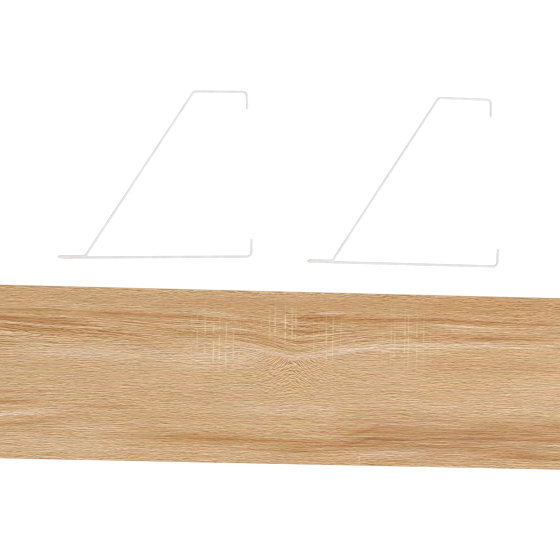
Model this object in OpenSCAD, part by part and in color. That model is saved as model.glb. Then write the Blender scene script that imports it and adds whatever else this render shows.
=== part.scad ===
// Hanging wall shelf kit: a plain board and two bent wire brackets, lying flat and not yet put up.
// X runs along the board, Y across it towards the brackets, and Z up from the surface they lie on.
// The origin is the middle of the board's underside.
//
// Each bracket is one length of wire. Hung up, its eye goes over a screw, its leg lies on the wall,
// its brace runs out and down to the lip at the shelf's front edge, and its two hooks point at each
// other below the board and carry it by its back and front edges.

/* [Board] */
// Length of the board, along X
board_length = 800; // [600:10:1200]
// Depth of the board, along Y
board_depth = 200; // [150:5:230]
// Thickness of the whole board
board_thickness = 16; // [12:1:25]
// Thickness of each melamine sheet on the two faces
face_sheet = 0.3; // [0.2:0.1:0.8]
// Thickness of the band glued to each of the four edges
edge_band = 0.8; // [0.4:0.1:2]

/* [Bracket wire] */
// Diameter of the coated wire
wire_d = 3.5; // [3:0.1:5]
// Radius of the wire's bends, to the middle of the wire
bend_r = 5; // [4:0.5:8]
// Length from the lower hook's corner, along the leg, to the middle of the wire at the eye's top
leg_reach = 223.7; // [200:0.1:240]
// Length of the left bracket's leg, from the lower hook's corner to the foot of the brace
left_leg_length = 192.6; // [185:0.1:200]
// Length of the right bracket's leg, from the lower hook's corner to the foot of the brace
right_leg_length = 196; // [185:0.1:200]
// Length of the brace between its two corners, seen square to the bracket
brace_length = 230.5; // [190:0.5:250]
// Angle between the left bracket's leg and brace, as the wire sprang back
left_brace_angle = 56.8; // [50:0.1:65]
// Angle between the right bracket's leg and brace, as the wire sprang back
right_brace_angle = 58.2; // [50:0.1:65]
// Height of the lip that keeps the board's front edge in place
lip_length = 62; // [40:1:80]
// Angle by which the lip closes in on the leg towards its hook
lip_toe = 0.6; // [0:0.1:2]
// Reach of each hook under the board, from the middle of the wire it turns out of
hook_length = 20.8; // [14:0.1:30]
// Angle by which each hook splays out from square
hook_splay = 1.4; // [0:0.1:3]

/* [Hanging eye] */
// Clear gap inside the eye, for the shank of a wall screw
eye_gap = 4.8; // [4.2:0.1:6]
// How far the eye's second wire leans towards the brace
eye_lean = 1.3; // [0:0.1:2]

/* [Layout] */
// Place of the left bracket's lower corner along the board
left_corner_x = -19.1; // [-60:0.1:0]
// Distance from the board's back edge to the left bracket's lower corner
left_gap = 40; // [20:0.5:60]
// Turn of the left bracket on the surface
left_turn = 1.7; // [-3:0.1:3]
// Place of the right bracket's lower corner along the board
right_corner_x = 271.6; // [260:0.1:320]
// Distance from the board's back edge to the right bracket's lower corner
right_gap = 35.5; // [20:0.5:60]
// Turn of the right bracket on the surface
right_turn = -0.1; // [-3:0.1:3]

/* [Hidden] */
$fn = 48;

core_length = board_length - 2 * edge_band;
core_depth = board_depth - 2 * edge_band;
core_thickness = board_thickness - 2 * face_sheet;
board_back = board_depth / 2;

// Height of the wires that lie on the surface, and of the eye's second wire above them
wire_z = wire_d / 2;
eye_z = wire_z + wire_d + eye_gap;
// How far a straight stretch reaches into the bend that it meets, and how much thinner than the
// bend it is all round, so that it stays inside the bend and every piece of wire fuses soundly
lap = 0.2;
shyness = 0.01;
// The two bends at the eye's top make one half turn, with room between them for a short straight
eye_r = norm([eye_lean, eye_z - wire_z]) / 2 - lap / 2;

melamine = [0.84, 0.67, 0.47];
banding = [0.72, 0.60, 0.47];
chipboard = [0.66, 0.53, 0.38];
white_coat = [0.93, 0.93, 0.92];

function unit(v) = v / norm(v);

// The rigid move that puts the X and Y axes along x and y and the origin at a point
function placed(x, y, at) =
    let (z = cross(x, y))
    [
        [x[0], y[0], z[0], at[0]],
        [x[1], y[1], z[1], at[1]],
        [x[2], y[2], z[2], at[2]],
        [0, 0, 0, 1],
    ];

// The bracket's corners from the lower hook's tip to the upper hook's tip, before they are rounded.
// The leg runs from the origin along -X, and the brace drops from the eye's second wire to the lip.
function bracket_corners(leg_length, brace_angle) =
    let (
        lower_tip = [hook_length * sin(hook_splay), hook_length * cos(hook_splay), wire_z],
        lower_corner = [0, 0, wire_z],
        eye_start = [-leg_reach, 0, wire_z],
        eye_end = [-leg_reach, eye_lean, eye_z],
        foot = [-leg_length, eye_lean, eye_z],
        brace_run = brace_length * [cos(brace_angle), sin(brace_angle)],
        lip_start = [foot[0] + brace_run[0], foot[1] + brace_run[1], wire_z],
        lip_end = lip_start + lip_length * [cos(lip_toe), -sin(lip_toe), 0],
        upper_tip = lip_end + hook_length * [sin(hook_splay), -cos(hook_splay), 0]
    )
    [lower_tip, lower_corner, eye_start, eye_end, foot, lip_start, lip_end, upper_tip];

// The bend radius at each of those corners; the two tips have none
bracket_radii = [0, bend_r, eye_r, eye_r, bend_r, bend_r, bend_r, 0];

// Angle that the wire turns through at corner i
function turn_at(corners, i) =
    acos(unit(corners[i] - corners[i - 1]) * unit(corners[i + 1] - corners[i]));

// Length that the bend at corner i takes from the straight on each side of it
function reach_at(corners, radii, i) = radii[i] * tan(turn_at(corners, i) / 2);

// The straight stretch of wire that follows corner i
module straight(corners, radii, i) {
    along = unit(corners[i + 1] - corners[i]);
    from = corners[i] + (radii[i] == 0 ? 0 : reach_at(corners, radii, i) - lap) * along;
    to = corners[i + 1] - (radii[i + 1] == 0 ? 0 : reach_at(corners, radii, i + 1) - lap) * along;
    translate(from)
        rotate([0, acos(along[2]), atan2(along[1], along[0])])
            cylinder(h = norm(to - from), d = wire_d - 2 * shyness);
}

// The rounded bend at corner i
module bend(corners, radii, i) {
    along = unit(corners[i] - corners[i - 1]);
    axis = unit(cross(along, corners[i + 1] - corners[i]));
    inward = cross(axis, along);
    start = corners[i] - reach_at(corners, radii, i) * along;
    multmatrix(placed(-inward, along, start + radii[i] * inward))
        rotate_extrude(angle = turn_at(corners, i))
            translate([radii[i], 0]) circle(d = wire_d);
}

// A wire bent through all its corners
module bent_wire(corners, radii) {
    last = len(corners) - 1;
    for (i = [0:last - 1]) straight(corners, radii, i);
    for (i = [1:last - 1]) bend(corners, radii, i);
}

// A flat rectangular piece centred on the Z axis, with its underside at a height
module slab(length, depth, thickness, height) {
    translate([-length / 2, -depth / 2, height]) cube([length, depth, thickness]);
}

module board_core() {
    color(chipboard) slab(core_length, core_depth, core_thickness, face_sheet);
}

module top_face() {
    color(melamine) slab(core_length, core_depth, face_sheet, board_thickness - face_sheet);
}

module bottom_face() {
    color(melamine) slab(core_length, core_depth, face_sheet, 0);
}

// A long band covers the ends of the two short ones
module long_band(side) {
    translate([0, side * (board_depth - edge_band) / 2, 0])
        slab(board_length, edge_band, board_thickness, 0);
}

module short_band(side) {
    translate([side * (board_length - edge_band) / 2, 0, 0])
        slab(edge_band, core_depth, board_thickness, 0);
}

module front_edge_band() {
    color(banding) long_band(-1);
}

module back_edge_band() {
    color(banding) long_band(1);
}

module left_end_band() {
    color(banding) short_band(-1);
}

module right_end_band() {
    color(banding) short_band(1);
}

module left_bracket_wire() {
    color(white_coat)
        translate([left_corner_x, board_back + left_gap, 0]) rotate(left_turn)
            bent_wire(bracket_corners(left_leg_length, left_brace_angle), bracket_radii);
}

module right_bracket_wire() {
    color(white_coat)
        translate([right_corner_x, board_back + right_gap, 0]) rotate(right_turn)
            bent_wire(bracket_corners(right_leg_length, right_brace_angle), bracket_radii);
}

board_core();
top_face();
bottom_face();
front_edge_band();
back_edge_band();
left_end_band();
right_end_band();
left_bracket_wire();
right_bracket_wire();
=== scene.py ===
"""The looks of the wall shelf kit: an oak-grain board and two white wire brackets, lying flat."""
import math

import bpy
from mathutils import Matrix, Vector


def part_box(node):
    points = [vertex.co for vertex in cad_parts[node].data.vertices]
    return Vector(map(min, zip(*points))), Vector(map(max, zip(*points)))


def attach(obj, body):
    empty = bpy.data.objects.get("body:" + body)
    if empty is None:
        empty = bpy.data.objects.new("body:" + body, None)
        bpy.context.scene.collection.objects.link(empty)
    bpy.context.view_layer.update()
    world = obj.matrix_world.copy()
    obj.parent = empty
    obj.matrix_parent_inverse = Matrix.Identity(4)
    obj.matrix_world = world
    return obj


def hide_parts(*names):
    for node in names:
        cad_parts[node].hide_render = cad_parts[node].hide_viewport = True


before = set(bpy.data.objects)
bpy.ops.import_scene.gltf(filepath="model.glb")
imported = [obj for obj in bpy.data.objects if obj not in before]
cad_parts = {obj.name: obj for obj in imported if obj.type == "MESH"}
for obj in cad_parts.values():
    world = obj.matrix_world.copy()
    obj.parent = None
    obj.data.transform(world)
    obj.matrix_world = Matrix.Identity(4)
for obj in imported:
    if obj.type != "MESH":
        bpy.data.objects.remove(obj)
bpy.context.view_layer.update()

MM = 0.001

# ---------------------------------------------------------------- driving sizes, in metres
WIRE_R = 1.75 * MM
BEND_R = 5.0 * MM
LEG_REACH = 223.7 * MM
BRACE_LENGTH = 230.5 * MM
LIP_LENGTH = 62.0 * MM
LIP_TOE = math.radians(0.6)
HOOK_LENGTH = 20.8 * MM
HOOK_SPLAY = math.radians(1.4)
EYE_GAP = 4.8 * MM
EYE_LEAN = 1.3 * MM
EYE_STRAIGHT = 0.2 * MM
# Each bracket: its leg's length, its brace's angle, its lower corner's place, and its turn
BRACKETS = {
    "left": (192.6 * MM, math.radians(56.8), Vector((-19.1, 140.0, 0)) * MM, math.radians(1.7)),
    "right": (196.0 * MM, math.radians(58.2), Vector((271.6, 135.5, 0)) * MM, math.radians(-0.1)),
}

# How finely a wire is swept: sides round it, and steps round a bend and along a straight
WIRE_SIDES = 24
BEND_STEP = math.radians(5)
STRAIGHT_STEP = 6 * MM
# The coat rounds each cut end of a wire over this length, with rings at these angles. The
# radius narrows by this factor more than on a true quarter round.
CUT_END_LENGTH = 0.6 * MM
CUT_END_ANGLES = (0.12, 0.45, 0.8, 1.15)
CUT_END_NARROWING = 1.6

# An edge band's two outer corners are scraped round to this radius, in this many steps
EASED_RADIUS = 0.4 * MM
EASED_STEPS = 4

CAMERA_PLACE = Vector((-0.3, 113.0, 917.0)) * MM
CAMERA_TILT = math.radians(-0.968)
CAMERA_ROLL = math.radians(1.399)
CAMERA_LENS = 50.0

# The studio, in metres and watts: an even white world, a glowing table and one soft lamp
WORLD_STRENGTH = 0.8
TABLE_HALF = 40.0
TABLE_GREY = 0.4
TABLE_GLOW = 0.8
LAMP_PLACE = Vector((1.6, -1.2, 1.8))
LAMP_AIM = Vector((0, 0.1, 0))
LAMP_SIZE = 1.6
LAMP_WATTS = 22.0


# ---------------------------------------------------------------- node building
class Graph:
    """A material's node tree, with one short method for each kind of node that it uses."""

    def __init__(self, tree):
        self.tree = tree

    def node(self, kind, **settings):
        made = self.tree.nodes.new(kind)
        for name, value in settings.items():
            setattr(made, name, value)
        return made

    def feed(self, socket, value):
        """Links a socket's output to an input, or sets the input where the value is a constant."""
        if isinstance(value, bpy.types.NodeSocket):
            self.tree.links.new(value, socket)
        else:
            socket.default_value = value

    def math(self, operation, *values):
        made = self.node("ShaderNodeMath", operation=operation)
        for socket, value in zip(made.inputs, values):
            self.feed(socket, value)
        return made.outputs[0]

    def add(self, a, b):
        return self.math("ADD", a, b)

    def sub(self, a, b):
        return self.math("SUBTRACT", a, b)

    def mul(self, a, b):
        return self.math("MULTIPLY", a, b)

    def bell(self, value, middle, half_width):
        """1 where the value is the middle, falling smoothly to nothing by two half widths away."""
        share = self.mul(self.sub(value, middle), 1.0 / half_width)
        return self.math("EXPONENT", self.mul(self.mul(share, share), -1.0))

    def ramp(self, value, low, high, to_low=0.0, to_high=1.0):
        """A smooth step from to_low to to_high while the value goes from low to high."""
        made = self.node("ShaderNodeMapRange", interpolation_type="SMOOTHSTEP")
        for socket, given in zip(made.inputs, (value, low, high, to_low, to_high)):
            self.feed(socket, given)
        return made.outputs[0]

    def point(self, x, y, z):
        made = self.node("ShaderNodeCombineXYZ")
        for socket, value in zip(made.inputs, (x, y, z)):
            self.feed(socket, value)
        return made.outputs[0]

    def noise(self, place, detail=2.0, per_unit=1.0):
        """Noise from 0 to 1, with this many cells to each unit of the place."""
        made = self.node("ShaderNodeTexNoise")
        self.feed(made.inputs["Vector"], place)
        made.inputs["Scale"].default_value = per_unit
        made.inputs["Detail"].default_value = detail
        return made.outputs["Fac"]

    def grain(self, x, y, length, width, seed=0.0, detail=2.0):
        """Noise drawn out along x, with cells of this length and width."""
        place = self.point(self.mul(x, 1 / length), self.mul(y, 1 / width), seed)
        return self.noise(place, detail=detail)

    def swing(self, noise, size):
        """Noise from 0 to 1 as a swing about 0, of this size from end to end."""
        return self.mul(self.sub(noise, 0.5), size)

    def colours(self, value, stops):
        """A smooth run of colours, from stops that each hold a place from 0 to 1 and a colour."""
        made = self.node("ShaderNodeValToRGB")
        self.feed(made.inputs[0], value)
        points = made.color_ramp.elements
        while len(points) < len(stops):
            points.new(0.5)
        for point, (place, colour) in zip(points, stops):
            point.position = place
            point.color = srgb(colour)
        return made.outputs[0]

    def mix(self, share, first, second, blend="MIX"):
        made = self.node("ShaderNodeMix", data_type="RGBA", blend_type=blend)
        self.feed(made.inputs[0], share)
        self.feed(made.inputs[6], first)
        self.feed(made.inputs[7], second)
        return made.outputs[2]

    def tint(self, share, colour, factors):
        """The colour with its red, green and blue multiplied by these factors, by a share."""
        return self.mix(share, colour, factors, blend="MULTIPLY")

    def place(self):
        """The place on the object, in metres."""
        return self.node("ShaderNodeTexCoord").outputs["Object"]

    def split(self):
        """The place on the object, as x, y and z in millimetres."""
        parts = self.node("ShaderNodeSeparateXYZ")
        self.feed(parts.inputs[0], self.place())
        return [self.mul(part, 1.0 / MM) for part in parts.outputs]


def srgb(colour):
    """A colour given as 0 to 255 screen values, in the linear values that shaders use."""
    shares = [c / 255 for c in colour]
    linear = [c / 12.92 if c < 0.04045 else ((c + 0.055) / 1.055) ** 2.4 for c in shares]
    return (*linear, 1.0)


def new_material(name, roughness, specular):
    """A material, its graph, and its shader with the values that are the same all over."""
    made = bpy.data.materials.new(name)
    made.use_nodes = True
    graph = Graph(made.node_tree)
    shader = made.node_tree.nodes["Principled BSDF"]
    shader.inputs["Roughness"].default_value = roughness
    shader.inputs["Specular IOR Level"].default_value = specular
    return made, graph, shader


def add_bump(graph, shader, height, strength, distance):
    """Relief of this depth in metres, for marks too fine to be modelled."""
    made = graph.node("ShaderNodeBump")
    made.inputs["Strength"].default_value = strength
    made.inputs["Distance"].default_value = distance
    graph.feed(made.inputs["Height"], height)
    graph.feed(shader.inputs["Normal"], made.outputs[0])


# ---------------------------------------------------------------- oak print
# Places and lengths on the print are in millimetres, on the board's face.

# The knot. Grain lines above it dip to a point, and those below it rise to another, a little to
# the left. Each has its half widths on its left and right, and how far it reaches up or down.
DIP_X = 36.0
DIP_DEPTH = 15.0
DIP_HALF_WIDTHS = (44.0, 62.0)
DIP_REACH = 45.0
RISE_X = 29.0
RISE_HEIGHT = 22.0
RISE_HALF_WIDTHS = (34.0, 34.0)
RISE_REACH = 28.0
# The grain line that closes over the knot
CLOSING_Y = 35.0
# How soft the two points are, and the power that the lines fall away from them by
POINT_SOFTNESS = 0.03
POINT_POWER = 1.5

# The bands at the far left slope down to the right
SLOPE_END_X = -100.0
SLOPE = 0.055
# Near the back edge the lines sag towards the knot over a long way
SAG_X = 30.0
SAG_DEPTH = 12.0
# All the lines wander up and down by this much
WANDER = 7.0
# A streak's edges are ragged by this much
RAGGED = 3.0

# The print's broad streaks: middle x and y, half length, half width, slope and tone.
# A tone below 0 is an orange-brown streak and one above 0 a pale one. A streak's y is where its
# grain line runs far from the knot.
STREAKS = [
    # orange-brown bands above the knot
    (-250, 90, 300, 17.0, 0.0, -0.35),
    (230, 90, 290, 17.0, 0.0, -0.95),
    (-310, 66, 90, 2.5, 0.0, -1.3),
    (-285, 51, 100, 3.8, 0.0, -1.7),
    (-240, 44, 90, 2.2, 0.0, -1.3),
    (-130, 66.5, 75, 2.6, 0.0, -1.7),
    (-30, 67, 70, 2.4, 0.0, -1.3),
    (-140, 60, 90, 1.4, 0.0, -0.8),
    (-120, 48, 60, 1.6, 0.0, -1.1),
    (-40, 51, 75, 2.6, 0.0, -1.2),
    (-20, 45, 70, 1.2, 0.0, -1.0),
    (60, 74, 28, 2.6, 0.0, -2.0),
    (150, 70, 70, 1.8, 0.0, -1.9),
    (270, 70, 80, 1.8, 0.0, -1.6),
    (50, 63, 30, 2.2, 0.0, -1.3),
    (55, 54, 40, 1.6, 0.0, -0.9),
    (130, 57, 90, 5.0, 0.0, -0.4),
    (285, 51, 42, 1.8, 0.0, -1.7),
    (190, 50, 50, 1.6, 0.0, -0.9),
    # brown lines and zones below it
    (260, 20, 90, 12.0, 0.0, -0.5),
    (-300, 33, 28, 1.4, 0.0, -1.0),
    (-300, -34, 36, 2.4, 0.04, -1.6),
    (-185, -38, 32, 1.2, 0.02, -1.6),
    (-270, -22, 60, 1.2, 0.0, -0.8),
    (-280, -59, 44, 2.4, 0.08, -0.9),
    (-70, -72, 90, 8.0, 0.0, -1.0),
    (-10, -73, 80, 1.2, 0.0, -1.6),
    (20, -84, 60, 1.2, 0.0, -1.4),
    (70, -79, 60, 7.0, 0.04, -1.1),
    (112, -62, 26, 2.0, 0.30, -1.0),
    (108, -74, 26, 2.0, 0.30, -0.9),
    (240, -66, 140, 22.0, 0.0, -1.1),
    (190, -68, 70, 1.4, 0.03, -1.5),
    (310, -66, 60, 1.8, 0.0, -1.3),
    (320, -50, 70, 5.0, 0.0, -1.0),
    (320, -87, 60, 1.6, 0.0, -1.3),
    # pale streaks
    (-200, 24, 80, 6.0, -0.02, 1.3),
    (-60, 20, 60, 9.0, 0.0, 1.2),
    (-40, 37, 60, 3.2, 0.0, 1.0),
    (50, 37, 60, 4.0, 0.0, 1.0),
    (150, 39, 75, 5.0, 0.0, 1.1),
    (140, 42, 70, 1.3, 0.0, 1.0),
    (270, 41, 70, 2.4, 0.0, 0.9),
    (226, 64, 30, 1.0, 0.0, 1.7),
    (74, 79, 14, 1.1, 0.0, 2.0),
    (-210, 58, 80, 0.9, 0.0, 1.2),
    (-270, 47, 90, 0.8, 0.0, 1.4),
    (-60, 57, 60, 1.2, 0.0, 1.6),
    (60, 58, 40, 1.0, 0.0, 1.6),
    (-290, -48, 45, 3.0, 0.08, 2.0),
    (-52, 73.5, 24, 2.0, -0.12, 1.5),
    (-200, -62, 34, 2.6, 0.0, 1.1),
    (-240, -84, 80, 8.0, 0.0, 0.7),
    (30, -37, 60, 6.0, 0.0, 0.8),
    (230, -30, 110, 5.0, 0.0, 0.7),
    (150, -86, 50, 3.0, 0.1, 0.9),
    (330, -2, 60, 10.0, 0.05, 0.3),
]

# Soft streaks all over: length, width, swing of tone, what the orange zones add to it, and seed
SOFT_STREAKS = [
    (190, 9, 1.1, 2.0, 2.0),
    (55, 2.2, 1.0, 3.0, 5.0),
]
# What the orange zones take off the tone, and how far a tone of 1 reaches along the colours
ZONE_TONE = 0.35
TONE_REACH = 0.18
PRINT_COLOURS = [
    (0.0, (172, 113, 60)),
    (0.25, (191, 143, 90)),
    (0.5, (207, 169, 124)),
    (0.75, (216, 186, 151)),
    (1.0, (230, 207, 185)),
]

# Pores and flecks, from short dashes to long hairlines: length, width, share in the fan below the
# knot, elsewhere and in the orange zones, and seed
DASHES = [
    (4.5, 0.80, 1.00, 0.42, 0.36, 9.0),
    (12, 0.85, 0.12, 0.50, 0.46, 12.0),
    (45, 0.90, 0.06, 0.44, 0.56, 15.0),
]
# A dash is the difference of two samples of noise, this many of its widths apart across it
SAMPLE_STEP = 0.7
# The difference that makes a full pore or fleck
FULL_DASH = 0.12
# The dashes are this much stronger near the back edge
BACK_STRENGTH = 1.35

# Groups of saw marks: middle x and y, half width and half height, and strength
SAW_GROUPS = [
    (-62, 50, 30, 20, 1.1),
    (-52, 22, 24, 12, 1.2),
    (22, 60, 22, 17, 1.5),
    (74, 42, 16, 30, 1.0),
    (166, 46, 26, 28, 1.0),
    (112, -97, 6, 9, 1.2),
]
# Their marks lie this far apart, and waver from side to side by this much
SAW_SPACING = 8.2
SAW_SWAY = 6.0
# How far a mark may lie from its cell's side, and its half width, as shares of the spacing
SAW_MARGIN = 0.2
SAW_CORE = 0.03
SAW_EDGE = 0.10
# The length of a mark's pieces, and how far apart in the noise neighbouring marks are broken
SAW_BREAK_LENGTH = 11.0
SAW_BREAK_STEP = 7.31
# How much the grain's own pale flecks show between the marks
SAW_NET = 0.4
# The marks' colour, and how much of it a full mark has
SAW_COLOUR = (246, 222, 182)
SAW_SHARE = 0.6

# What the pores and the flecks multiply the print's colour by
DARK_PORES = (0.60, 0.52, 0.41, 1.0)
PALE_FLECKS = (1.44, 1.55, 1.78, 1.0)
# What its patches of another hue multiply it by
PINKISH = (1.03, 0.984, 1.02, 1.0)
OLIVE = (0.97, 1.016, 0.98, 1.0)
GREYER = (0.988, 1.0, 1.06, 1.0)
WARMER = (1.012, 1.0, 0.945, 1.0)
BROWNISH = (0.95, 0.99, 1.10, 1.0)
# Pairs of hues that the print leans to in places, with a seed for each pair
HUE_PATCHES = [
    (21.0, PINKISH, OLIVE),
    (33.0, GREYER, WARMER),
]

# The other materials' colours, each with its place from 0 to 1
BAND_COLOURS = [
    (0.30, (166, 124, 84)),
    (0.50, (192, 154, 114)),
    (0.70, (208, 176, 138)),
]
BAND_PORE = (140, 100, 66)
BAND_PORE_SHARE = 0.4
CHIP_COLOURS = [
    (0.0, (128, 94, 60)),
    (0.5, (178, 142, 98)),
    (1.0, (212, 182, 138)),
]
CHIPS_PER_METRE = 420.0
COAT_COLOURS = [
    (0.3, (226, 226, 227)),
    (0.7, (235, 235, 236)),
]
COAT_SHADES_PER_METRE = 60.0
COAT_PEEL_PER_METRE = 1600.0


def streak_group():
    """A node group that gives one soft streak of the print, worked out from its place and size."""
    group = bpy.data.node_groups.new("streak", "ShaderNodeTree")
    for name in ("x", "y", "mid_x", "mid_y", "per_length", "per_width", "slope", "tone"):
        group.interface.new_socket(name, in_out="INPUT", socket_type="NodeSocketFloat")
    group.interface.new_socket("tone", in_out="OUTPUT", socket_type="NodeSocketFloat")
    graph = Graph(group)
    given = graph.node("NodeGroupInput").outputs[:8]
    x, y, mid_x, mid_y, per_length, per_width, slope, tone = given
    along = graph.sub(x, mid_x)
    across = graph.mul(graph.sub(graph.sub(y, mid_y), graph.mul(along, slope)), per_width)
    reach = graph.mul(along, per_length)
    square = graph.mul(reach, reach)
    falloff = graph.add(graph.mul(across, across), graph.mul(square, square))
    value = graph.mul(graph.math("EXPONENT", graph.mul(falloff, -1.0)), tone)
    graph.feed(graph.node("NodeGroupOutput").inputs[0], value)
    return group


def pointed(graph, distance, half_widths):
    """1 at distance 0, falling away with a soft point, by a half width of its own on each side."""
    left_width, right_width = half_widths
    left = graph.math("MAXIMUM", graph.mul(distance, -1 / left_width), 0.0)
    right = graph.math("MAXIMUM", graph.mul(distance, 1 / right_width), 0.0)
    share = graph.add(graph.add(left, right), POINT_SOFTNESS)
    share = graph.math("POWER", share, POINT_POWER)
    return graph.math("EXPONENT", graph.mul(share, -1.0))


def grain_lines(graph, x, y):
    """The y that each point's grain line has far from the knot, where the lines run straight."""
    wander = graph.grain(x, y, length=150, width=40, detail=1.0)
    level = graph.add(y, graph.swing(wander, WANDER))
    left = graph.math("MINIMUM", graph.sub(x, SLOPE_END_X), 0.0)
    at_bands = graph.bell(y, middle=60.0, half_width=18.0)
    level = graph.add(level, graph.mul(graph.mul(left, SLOPE), at_bands))
    near_knot = graph.bell(x, middle=SAG_X, half_width=130.0)
    near_back = graph.bell(y, middle=96.0, half_width=14.0)
    level = graph.add(level, graph.mul(graph.mul(near_knot, near_back), SAG_DEPTH))
    # Above the closing line the grain dips to the knot, and below it rises to the knot
    dip = graph.mul(pointed(graph, graph.sub(x, DIP_X), DIP_HALF_WIDTHS), DIP_DEPTH)
    rise = graph.mul(pointed(graph, graph.sub(x, RISE_X), RISE_HALF_WIDTHS), -RISE_HEIGHT)
    above = graph.sub(y, graph.sub(CLOSING_Y, dip))
    dip = graph.mul(dip, graph.bell(above, middle=0.0, half_width=DIP_REACH))
    rise = graph.mul(rise, graph.math("EXPONENT", graph.mul(above, 1 / RISE_REACH)))
    over = graph.math("GREATER_THAN", above, 0.0)
    return graph.add(level, graph.add(rise, graph.mul(over, graph.sub(dip, rise))))


def saw_marks(graph, x, y, pale_flecks):
    """Pale marks across the grain, as a band saw leaves them, in a few loose groups.

    Between a group's marks the grain's own pale flecks show more, so they form a loose net.
    """
    sway = graph.grain(x, y, length=60, width=90)
    turns = graph.mul(graph.add(x, graph.swing(sway, SAW_SWAY)), 1 / SAW_SPACING)
    cell = graph.math("FLOOR", turns)
    chance = graph.node("ShaderNodeTexWhiteNoise", noise_dimensions="1D")
    graph.feed(chance.inputs["W"], cell)
    middle = graph.mul(chance.outputs["Value"], 1 - 2 * SAW_MARGIN)
    middle = graph.add(middle, SAW_MARGIN)
    off_centre = graph.math("ABSOLUTE", graph.sub(graph.sub(turns, cell), middle))
    line = graph.ramp(off_centre, SAW_CORE, SAW_EDGE, to_low=1.0, to_high=0.0)
    # Each mark is broken into short lengths, elsewhere than its neighbours are
    step = graph.mul(cell, SAW_BREAK_STEP)
    broken = graph.noise(graph.point(step, graph.mul(y, 1 / SAW_BREAK_LENGTH), 4.7))
    present = graph.ramp(broken, 0.40, 0.52)
    groups = 0.0
    for mid_x, mid_y, half_x, half_y, strength in SAW_GROUPS:
        across = graph.bell(x, mid_x, half_x)
        up = graph.bell(y, mid_y, half_y)
        groups = graph.add(groups, graph.mul(graph.mul(across, up), strength))
    net = graph.mul(pale_flecks, SAW_NET)
    marks = graph.math("MAXIMUM", graph.mul(line, present), net)
    return graph.mul(marks, groups)


def fine_grain(graph, x, level, fan, zone):
    """Pores above 0 and flecks below it, drawn out along the grain."""
    total = 0.0
    for length, width, at_fan, elsewhere, in_zone, seed in DASHES:
        along = graph.mul(x, 1 / length)
        across = graph.mul(level, 1 / width)
        further = graph.add(across, SAMPLE_STEP)
        here = graph.noise(graph.point(along, across, seed), detail=0.0)
        beside = graph.noise(graph.point(along, further, seed), detail=0.0)
        share = graph.add(elsewhere, graph.mul(fan, at_fan - elsewhere))
        share = graph.add(share, graph.mul(zone, in_zone - elsewhere))
        total = graph.add(total, graph.mul(graph.sub(here, beside), share))
    return total


def streak_tones(graph, x, level, zone):
    """How pale or orange-brown the print is at a place, with 0 between the two."""
    ragged = graph.grain(x, level, length=80, width=2.2)
    ragged_level = graph.add(level, graph.swing(ragged, RAGGED))
    tone = 0.0
    for mid_x, mid_y, half_length, half_width, slope, strength in STREAKS:
        made = graph.node("ShaderNodeGroup", node_tree=STREAK)
        values = (x, ragged_level, mid_x, mid_y, 1 / half_length, 1 / half_width, slope, strength)
        for socket, value in zip(made.inputs, values):
            graph.feed(socket, value)
        tone = graph.add(tone, made.outputs[0])
    for length, width, size, more_in_zone, seed in SOFT_STREAKS:
        soft = graph.grain(x, level, length, width, seed)
        wider = graph.add(graph.mul(zone, more_in_zone), size)
        tone = graph.add(tone, graph.swing(soft, wider))
    return graph.sub(tone, graph.mul(zone, ZONE_TONE))


def oak_print(graph, x, y):
    """The colour and the height of oak-grain melamine at a place on a face."""
    level = grain_lines(graph, x, y)
    upper_zone = graph.bell(level, middle=57.0, half_width=20.0)
    lower_zone = graph.bell(level, middle=-68.0, half_width=30.0)
    lower_zone = graph.mul(lower_zone, graph.ramp(x, 0.0, 140.0, to_low=0.3))
    zone = graph.add(upper_zone, lower_zone)
    tone = streak_tones(graph, x, level, zone)
    colour = graph.colours(graph.add(graph.mul(tone, TONE_REACH), 0.5), PRINT_COLOURS)
    for seed, one_way, other_way in HUE_PATCHES:
        patches = graph.grain(x, level, length=60, width=6, seed=seed, detail=1.0)
        colour = graph.tint(graph.ramp(patches, 0.5, 0.66), colour, one_way)
        colour = graph.tint(graph.ramp(patches, 0.5, 0.34), colour, other_way)
    to_right = graph.ramp(x, 0.0, 200.0)
    colour = graph.tint(graph.mul(lower_zone, to_right), colour, BROWNISH)
    fan_across = graph.bell(x, middle=RISE_X, half_width=42.0)
    fan_up = graph.bell(y, middle=5.0, half_width=24.0)
    fine = fine_grain(graph, x, level, graph.mul(fan_across, fan_up), zone)
    fine = graph.mul(fine, graph.ramp(y, 35.0, 60.0, to_low=1.0, to_high=BACK_STRENGTH))
    dark_pores = graph.ramp(fine, 0.0, FULL_DASH)
    pale_flecks = graph.ramp(fine, 0.0, -FULL_DASH)
    colour = graph.tint(dark_pores, colour, DARK_PORES)
    colour = graph.tint(pale_flecks, colour, PALE_FLECKS)
    marks = saw_marks(graph, x, y, pale_flecks)
    colour = graph.mix(graph.mul(marks, SAW_SHARE), colour, srgb(SAW_COLOUR))
    return colour, graph.sub(1.0, dark_pores)


def oak_material(name, shift):
    """Melamine with the oak print, moved along the board by the shift in millimetres."""
    made, graph, shader = new_material(name, roughness=0.55, specular=0.35)
    x, y = graph.split()[:2]
    colour, height = oak_print(graph, graph.add(x, shift), y)
    graph.feed(shader.inputs["Base Color"], colour)
    add_bump(graph, shader, height, strength=0.25, distance=0.08 * MM)
    return made


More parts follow.
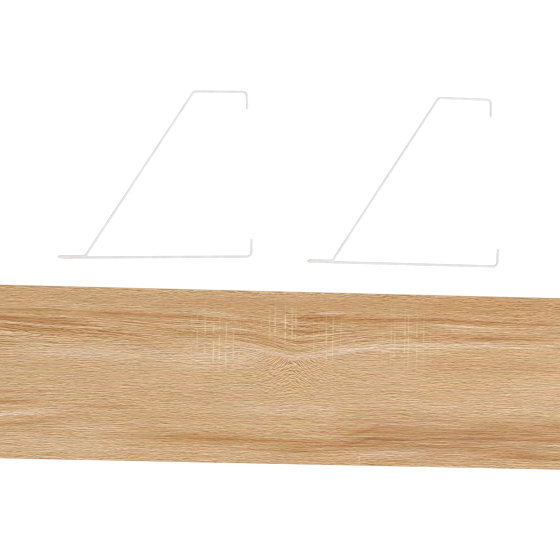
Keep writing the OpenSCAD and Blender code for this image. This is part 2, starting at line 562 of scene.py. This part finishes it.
def band_material():
    """Edge banding: a plainer print of the same oak, drawn along the edge."""
    made, graph, shader = new_material("oak_edge_band", roughness=0.5, specular=0.4)
    x, y, z = graph.split()
    along = graph.add(x, y)
    streaks = graph.grain(along, z, length=70, width=1.6, seed=3.0, detail=4.0)
    pores = graph.grain(along, z, length=8, width=0.6, seed=8.0)
    dark = graph.ramp(pores, 0.52, 0.68)
    colour = graph.colours(streaks, BAND_COLOURS)
    colour = graph.mix(graph.mul(dark, BAND_PORE_SHARE), colour, srgb(BAND_PORE))
    graph.feed(shader.inputs["Base Color"], colour)
    add_bump(graph, shader, graph.sub(1.0, dark), strength=0.2, distance=0.06 * MM)
    return made


def chipboard_material():
    """Pressed wood chips in resin, hidden inside the board."""
    made, graph, shader = new_material("pressed_chips", roughness=0.9, specular=0.2)
    chips = graph.node("ShaderNodeTexVoronoi", feature="F1")
    chips.inputs["Scale"].default_value = CHIPS_PER_METRE
    graph.feed(chips.inputs["Vector"], graph.place())
    parts = graph.node("ShaderNodeSeparateColor")
    graph.feed(parts.inputs[0], chips.outputs["Color"])
    graph.feed(shader.inputs["Base Color"], graph.colours(parts.outputs[0], CHIP_COLOURS))
    add_bump(graph, shader, chips.outputs["Distance"], strength=0.5, distance=0.4 * MM)
    return made


def coat_material():
    """White powder coat: satin, with the faint orange peel and shade changes of a baked coat."""
    made, graph, shader = new_material("white_powder_coat", roughness=0.55, specular=0.25)
    place = graph.place()
    peel = graph.noise(place, detail=2.0, per_unit=COAT_PEEL_PER_METRE)
    shade = graph.noise(place, detail=3.0, per_unit=COAT_SHADES_PER_METRE)
    graph.feed(shader.inputs["Base Color"], graph.colours(shade, COAT_COLOURS))
    add_bump(graph, shader, peel, strength=0.35, distance=0.05 * MM)
    return made


# ---------------------------------------------------------------- meshes
def new_piece(name, vertices, faces, material, smooth=True):
    """An object with this one mesh and material, linked to the scene."""
    mesh = bpy.data.meshes.new(name)
    mesh.from_pydata(vertices, [], faces)
    mesh.update()
    made = bpy.data.objects.new(name, mesh)
    bpy.context.scene.collection.objects.link(made)
    mesh.materials.append(material)
    for polygon in mesh.polygons:
        polygon.use_smooth = smooth
    return made


def bracket_corners(leg_length, brace_angle):
    """The wire's corners from the lower hook's tip to the upper one's, with the bend at each."""
    lying = WIRE_R
    raised = lying + 2 * WIRE_R + EYE_GAP
    splay = Vector((math.sin(HOOK_SPLAY), math.cos(HOOK_SPLAY), 0)) * HOOK_LENGTH
    eye_start = Vector((-LEG_REACH, 0, lying))
    eye_end = Vector((-LEG_REACH, EYE_LEAN, raised))
    foot = Vector((-leg_length, EYE_LEAN, raised))
    lip_start = foot + BRACE_LENGTH * Vector((math.cos(brace_angle), math.sin(brace_angle), 0))
    lip_start.z = lying
    lip_end = lip_start + LIP_LENGTH * Vector((math.cos(LIP_TOE), -math.sin(LIP_TOE), 0))
    lower_corner = Vector((0, 0, lying))
    eye_r = ((eye_end - eye_start).length - EYE_STRAIGHT) / 2
    return [
        (lower_corner + splay, 0),
        (lower_corner, BEND_R),
        (eye_start, eye_r),
        (eye_end, eye_r),
        (foot, BEND_R),
        (lip_start, BEND_R),
        (lip_end, BEND_R),
        (lip_end + Vector((splay.x, -splay.y, 0)), 0),
    ]


def rounded_path(corners):
    """Points and directions along the wire's axis, with its corners rounded to their radii."""
    path = []
    here = corners[0][0]
    for i in range(1, len(corners)):
        corner, radius = corners[i]
        into = (corner - corners[i - 1][0]).normalized()
        if radius:
            out = (corners[i + 1][0] - corner).normalized()
            turn = into.angle(out)
            reach = radius * math.tan(turn / 2)
        else:
            reach = 0
        start = corner - into * reach
        steps = max(1, round((start - here).length / STRAIGHT_STEP))
        for k in range(steps):
            path.append((here.lerp(start, k / steps), into))
        if radius:
            axis = into.cross(out).normalized()
            centre = start + axis.cross(into) * radius
            steps = max(2, round(turn / BEND_STEP))
            for k in range(steps):
                spin = Matrix.Rotation(turn * k / steps, 3, axis)
                path.append((centre + spin @ (start - centre), spin @ into))
            here = corner + out * reach
        else:
            path.append((start, into))
    return path


def wire_mesh(path):
    """A round wire swept along the path, with its cut ends softened by the coat."""
    first, first_way = path[0]
    last, last_way = path[-1]
    # Each ring: its middle, the way it faces and its radius as a share of the wire's
    start_rings = []
    end_rings = []
    for angle in CUT_END_ANGLES:
        left_over = 1 - math.sin(angle)
        start = first + first_way * CUT_END_LENGTH * left_over
        end = last - last_way * CUT_END_LENGTH * left_over
        narrowed = (1 - math.cos(angle)) * CUT_END_LENGTH / WIRE_R * CUT_END_NARROWING
        start_rings.append((start, first_way, 1 - narrowed))
        end_rings.append((end, last_way, 1 - narrowed))
    between = [(place, way, 1.0) for place, way in path[1:-1]]
    rings = start_rings[::-1] + between + end_rings
    vertices = []
    across = first_way.orthogonal().normalized()
    for place, way, share in rings:
        across = (across - way * across.dot(way)).normalized()
        other = way.cross(across)
        radius = WIRE_R * share
        for k in range(WIRE_SIDES):
            angle = 2 * math.pi * k / WIRE_SIDES
            vertices.append(place + (across * math.cos(angle) + other * math.sin(angle)) * radius)
    faces = []
    for ring in range(len(rings) - 1):
        near = ring * WIRE_SIDES
        far = near + WIRE_SIDES
        for k in range(WIRE_SIDES):
            beside = (k + 1) % WIRE_SIDES
            faces.append((near + k, near + beside, far + beside, far + k))
    last_ring = (len(rings) - 1) * WIRE_SIDES
    faces.append(tuple(range(WIRE_SIDES))[::-1])
    faces.append(tuple(range(last_ring, last_ring + WIRE_SIDES)))
    return vertices, faces


def build_bracket(side, material):
    """One bent wire, laid in its place by the lower corner and turned about it."""
    leg_length, brace_angle, corner, turn = BRACKETS[side]
    place = Matrix.Translation(corner) @ Matrix.Rotation(turn, 4, "Z")
    vertices, faces = wire_mesh(rounded_path(bracket_corners(leg_length, brace_angle)))
    piece = new_piece(f"{side}_bent_wire", [place @ v for v in vertices], faces, material)
    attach(piece, f"{side}_bracket")
    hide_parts(f"{side}_bracket_wire")


def band_profile(low, high, thin_axis):
    """A band's section as places across it and heights, with its two outer corners eased."""
    inner = low[thin_axis]
    outer = high[thin_axis]
    outward = 1
    if inner + outer < 0:
        inner, outer = outer, inner
        outward = -1
    angles = [math.pi / 2 * k / EASED_STEPS for k in range(EASED_STEPS + 1)]
    profile = [(inner, low.z)]
    for angle in angles:
        across = outer - outward * EASED_RADIUS * (1 - math.sin(angle))
        profile.append((across, low.z + EASED_RADIUS * (1 - math.cos(angle))))
    for angle in angles:
        across = outer - outward * EASED_RADIUS * (1 - math.cos(angle))
        profile.append((across, high.z - EASED_RADIUS * (1 - math.sin(angle))))
    profile.append((inner, high.z))
    return profile


def build_band(node, material):
    """An edge band whose outer corners are scraped round, where it meets the two faces."""
    low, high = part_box(node)
    size = high - low
    long_axis = 0 if size.x > size.y else 1
    thin_axis = 1 - long_axis
    profile = band_profile(low, high, thin_axis)
    vertices = []
    for end in (low[long_axis], high[long_axis]):
        for across, height in profile:
            spot = [0, 0, height]
            spot[long_axis] = end
            spot[thin_axis] = across
            vertices.append(tuple(spot))
    count = len(profile)
    faces = [(k, (k + 1) % count, count + (k + 1) % count, count + k) for k in range(count)]
    faces += [tuple(range(count))[::-1], tuple(range(count, 2 * count))]
    piece = new_piece(f"{node}_strip", vertices, faces, material, smooth=False)
    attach(piece, "board")
    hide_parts(node)


# ---------------------------------------------------------------- the object
STREAK = streak_group()
oak = oak_material("oak_melamine", shift=0.0)
# The underside's sheet is cut from another stretch of the same print
oak_below = oak_material("oak_melamine_below", shift=190.0)
band = band_material()
chips = chipboard_material()
coat = coat_material()

for node, material in (("top_face", oak), ("bottom_face", oak_below), ("board_core", chips)):
    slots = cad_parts[node].data.materials
    slots.clear()
    slots.append(material)

for node in ("front_edge_band", "back_edge_band", "left_end_band", "right_end_band"):
    build_band(node, band)

for side in BRACKETS:
    build_bracket(side, coat)


# ---------------------------------------------------------------- the studio
def build_floor():
    made, _, shader = new_material("white_table", roughness=0.9, specular=0.0)
    shader.inputs["Base Color"].default_value = (TABLE_GREY, TABLE_GREY, TABLE_GREY, 1)
    shader.inputs["Emission Color"].default_value = (1, 1, 1, 1)
    shader.inputs["Emission Strength"].default_value = TABLE_GLOW
    half = TABLE_HALF
    corners = [(-half, -half, 0), (half, -half, 0), (half, half, 0), (-half, half, 0)]
    floor = new_piece("table_top", corners, [(0, 1, 2, 3)], made, smooth=False)


def build_lamp():
    data = bpy.data.lights.new("soft_box", "AREA")
    data.size = LAMP_SIZE
    data.energy = LAMP_WATTS
    lamp = bpy.data.objects.new("soft_box", data)
    lamp.location = LAMP_PLACE
    lamp.rotation_euler = (LAMP_AIM - LAMP_PLACE).to_track_quat("-Z", "Y").to_euler()
    bpy.context.scene.collection.objects.link(lamp)


def build_world():
    world = bpy.data.worlds.new("soft_white")
    world.use_nodes = True
    background = world.node_tree.nodes["Background"]
    background.inputs["Color"].default_value = (1, 1, 1, 1)
    background.inputs["Strength"].default_value = WORLD_STRENGTH
    bpy.context.scene.world = world


def build_camera():
    data = bpy.data.cameras.new("camera")
    data.lens = CAMERA_LENS
    camera = bpy.data.objects.new("camera", data)
    camera.location = CAMERA_PLACE
    camera.rotation_euler = (0, CAMERA_TILT, CAMERA_ROLL)
    bpy.context.scene.collection.objects.link(camera)
    bpy.context.scene.camera = camera


build_floor()
build_world()
build_lamp()
build_camera()
bpy.context.scene.view_settings.view_transform = "Standard"
